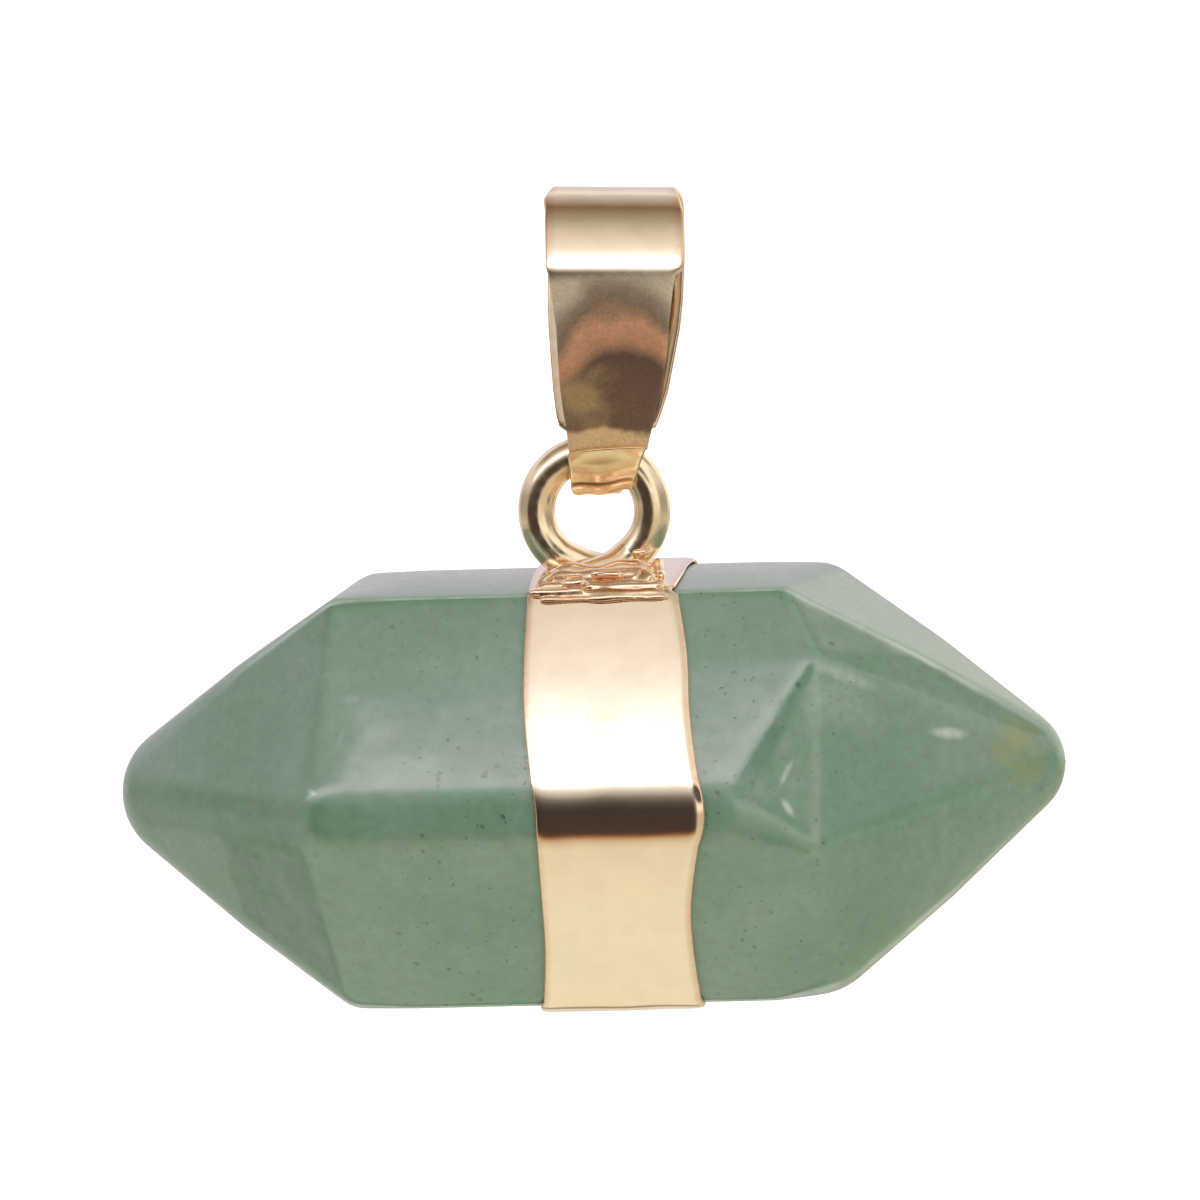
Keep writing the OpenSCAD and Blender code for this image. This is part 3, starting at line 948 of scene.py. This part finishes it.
class PENDANT_OT_bail(bpy.types.Operator):
    """Fold the bail's strip and lap its toe"""
    bl_idname = "pendant.bail"
    bl_label = "Bail"

    def execute(self, context):
        sizes = context.scene.pendant_gilt
        material = gilt_bail(sizes)
        front = bail_front(sizes.fold + sizes.strip, steps=14)
        back = [(Vector((0, -point.y, point.z)), pi - angle) for point, angle in reversed(front[1:-1])]
        rings, rims = [], []
        for index, (point, angle) in enumerate(front + back):
            outline = FRONT_OUTLINE if index < len(front) else BACK_OUTLINE
            _, left, right = look_up(outline, point.z)
            normal = Vector((0, -cos(angle), sin(angle)))
            ring = []
            for x, depth, rim in strip_section(left, right, sizes.strip, rim=0.1, spans=16):
                ring.append(lean_bail(point - normal * depth + Vector((x, 0, 0))))
                rims.append(RIM_WEAR * rim)
            rings.append(ring)
        strip = closed_band("bail_strip", rings)
        add_attribute(strip, "rim", rims)
        face_outwards(strip)
        finish_piece(strip, "bail", "bail", material)
        self.make_toe(sizes)
        return {"FINISHED"}

    def make_toe(self, sizes):
        """The strip's end, a flat lap over the fold with a wavy lower edge."""
        across_steps, down_steps = 24, 32
        height, steepest = 1.5, radians(50)
        wave, bow, crown = 0.05, 0.14, 0.05    # of the lower part, of the crease and of the face across
        bpy.ops.mesh.primitive_grid_add(x_subdivisions=across_steps - 1, y_subdivisions=down_steps - 1,
                                        size=1)
        toe = name_piece("bail_toe")
        depth = -1.70
        points, marked = [], []
        for j in range(down_steps):
            down, left_x, left_z, right_x, right_z = look_up(TOE_SIDES, j / (down_steps - 1))
            tip = radians(look_up(TOE_TURNS, down)[1])
            depth += height / down_steps * tan(min(tip, steepest))
            for i in range(across_steps):
                across = i / (across_steps - 1)
                wavy = wave * sin(2 * pi * (across * 1.3 + 0.1)) * sin(pi * min(1.0, down / 0.7) / 2)
                bowed = bow * sin(pi * across ** 0.6) * max(0.0, 1 - down / 0.3)
                x, z = between(left_x, right_x, across), between(left_z, right_z, across) + wavy + bowed
                crowned = crown * (1 - (2 * across - 1) ** 4)
                points.append(lean_bail(Vector((x, depth - crowned, z))))
                # Painted shade in copper: along the crease at the top and along a line lower down.
                crease_shade, line_shade = 0.5 - 15 * down, 0.6 - 12 * abs(down - 0.775)
                marked.append(max(0.0, line_shade, crease_shade))
        set_points(toe, points)
        add_attribute(toe, "rim", marked)
        face_outwards(toe)
        apply_modifier(toe, "SOLIDIFY", thickness=0.16, offset=-1)
        apply_modifier(toe, "BEVEL", width=0.04, segments=3, limit_method="ANGLE")
        finish_piece(toe, "bail", "bail",
                     gilt("gilt_toe", sizes, roughness=0.15, tint=(1.0, 0.87, 0.58, 1), wave=0.15))


def studio_world():
    """A soft surround: what the metal mirrors by angle, with calmer sides, and plain white to the camera."""
    world = bpy.data.worlds.new("studio")
    bpy.context.scene.world = world
    world.use_nodes = True
    tree = world.node_tree
    shader = tree.nodes["Background"]
    direction = put(tree, "ShaderNodeTexCoord").outputs["Generated"]
    parts = split(tree, direction)
    forward = worked(tree, "MULTIPLY", parts["Y"], -1.0)
    angle = worked(tree, "ARCTAN2", parts["Z"], forward)
    ramp = put(tree, "ShaderNodeValToRGB", {0: ranged(tree, angle, -pi, pi, smooth=False)})
    brightest = max(max(row[1:]) for row in SURROUND)
    set_stops(ramp, [((row[0] + 180) / 360, *row[1:]) for row in SURROUND], brightest)
    up = ranged(tree, parts["Z"], -1.0, 1.0, smooth=False)
    right = put(tree, "ShaderNodeValToRGB", {0: up})
    set_stops(right, NEAR_RIGHT, brightest)
    far = put(tree, "ShaderNodeValToRGB", {0: up})
    set_stops(far, FAR_SIDES, brightest)
    seen = mixed(tree, ranged(tree, parts["X"], *NEAR_SPAN), ramp.outputs[0], right.outputs[0])
    out = worked(tree, "ABSOLUTE", parts["X"])
    seen = mixed(tree, ranged(tree, out, *FAR_SPAN), seen, far.outputs[0])
    for *card, grey in DARK_CARDS:
        nearness = put(tree, "ShaderNodeVectorMath", {0: direction, 1: card},
                       operation="DOT_PRODUCT").outputs["Value"]
        seen = mixed(tree, ranged(tree, nearness, *CARD_SPAN), seen,
                     (*[grey * tone / brightest for tone in CARD_TONE], 1))
    to_camera = put(tree, "ShaderNodeLightPath").outputs["Is Camera Ray"]
    white = (1 / brightest, 1 / brightest, 1 / brightest, 1)
    feed(tree, shader, {"Color": mixed(tree, to_camera, seen, white), "Strength": brightest})


class PENDANT_OT_stage(bpy.types.Operator):
    """Set the floor, the surround and the camera"""
    bl_idname = "pendant.stage"
    bl_label = "Stage"

    def execute(self, context):
        sizes = context.scene.pendant_stage
        bpy.ops.object.select_all(action="DESELECT")
        bpy.ops.mesh.primitive_circle_add(vertices=96, radius=sizes.floor_radius, fill_type="NGON",
                                          location=(0, 0, sizes.floor_drop))
        floor_piece = name_piece("floor")
        material, tree, shader = new_material("floor")
        where = put(tree, "ShaderNodeTexCoord").outputs["Object"]
        tone = ranged(tree, noise_of(tree, where, 3.0), 0.3, 0.7, 0.86, 0.88)
        feed(tree, shader, {"Base Color": grey_of(tree, tone), "Roughness": 0.9,
                            "Emission Color": (1, 1, 1, 1), "Emission Strength": 0.7})
        floor_piece.data.materials.append(material)
        floor_piece.visible_glossy = False
        floor_piece.visible_diffuse = False
        studio_world()
        bpy.ops.object.light_add(type="SUN", rotation=(radians(115), 0, radians(10)))
        fill = bpy.context.object
        fill.name = "fill"
        fill.data.energy = 1.3
        fill.data.angle = radians(140)
        fill.visible_glossy = False
        place, aim = Vector(CAMERA_PLACE) * MM, Vector(CAMERA_AIM) * MM
        bpy.ops.object.camera_add(location=place)
        camera = bpy.context.object
        camera.name = "camera"
        turn = (aim - place).to_track_quat("-Z", "Y") @ Quaternion((0, 0, 1), radians(-CAMERA_ROLL))
        camera.rotation_mode = "QUATERNION"
        camera.rotation_quaternion = turn
        camera.data.lens = sizes.lens
        camera.data.sensor_width = 36
        camera.data.clip_start, camera.data.clip_end = 0.01, 4
        context.scene.camera = camera
        context.scene.view_settings.view_transform = "Standard"
        return {"FINISHED"}


class PENDANT_PT_panel(bpy.types.Panel):
    """Lists the pendant's pieces"""
    bl_label = "Stone pendant"
    bl_idname = "PENDANT_PT_panel"
    bl_space_type = "VIEW_3D"
    bl_region_type = "UI"
    bl_category = "Pendant"

    def draw(self, context):
        for operator in OPERATORS:
            self.layout.operator(operator.bl_idname)
        for group in ("pendant_stone", "pendant_gilt", "pendant_stage"):
            sizes = getattr(context.scene, group)
            for name in sizes.__annotations__:
                self.layout.prop(sizes, name)


OPERATORS = (PENDANT_OT_stone, PENDANT_OT_collar_sheet, PENDANT_OT_collar_ring, PENDANT_OT_collar_solder,
             PENDANT_OT_bail, PENDANT_OT_stage)
CLASSES = (StoneSizes, GiltSizes, StageSizes, *OPERATORS, PENDANT_PT_panel)


def register():
    for one in CLASSES:
        bpy.utils.register_class(one)
    bpy.types.Scene.pendant_stone = PointerProperty(type=StoneSizes)
    bpy.types.Scene.pendant_gilt = PointerProperty(type=GiltSizes)
    bpy.types.Scene.pendant_stage = PointerProperty(type=StageSizes)


def unregister():
    del bpy.types.Scene.pendant_stage
    del bpy.types.Scene.pendant_gilt
    del bpy.types.Scene.pendant_stone
    for one in reversed(CLASSES):
        bpy.utils.unregister_class(one)


def main():
    register()
    bpy.ops.pendant.stone()
    bpy.ops.pendant.collar_sheet()
    bpy.ops.pendant.collar_ring()
    bpy.ops.pendant.collar_solder()
    bpy.ops.pendant.bail()
    bpy.ops.pendant.stage()


if __name__ == "__main__":
    main()
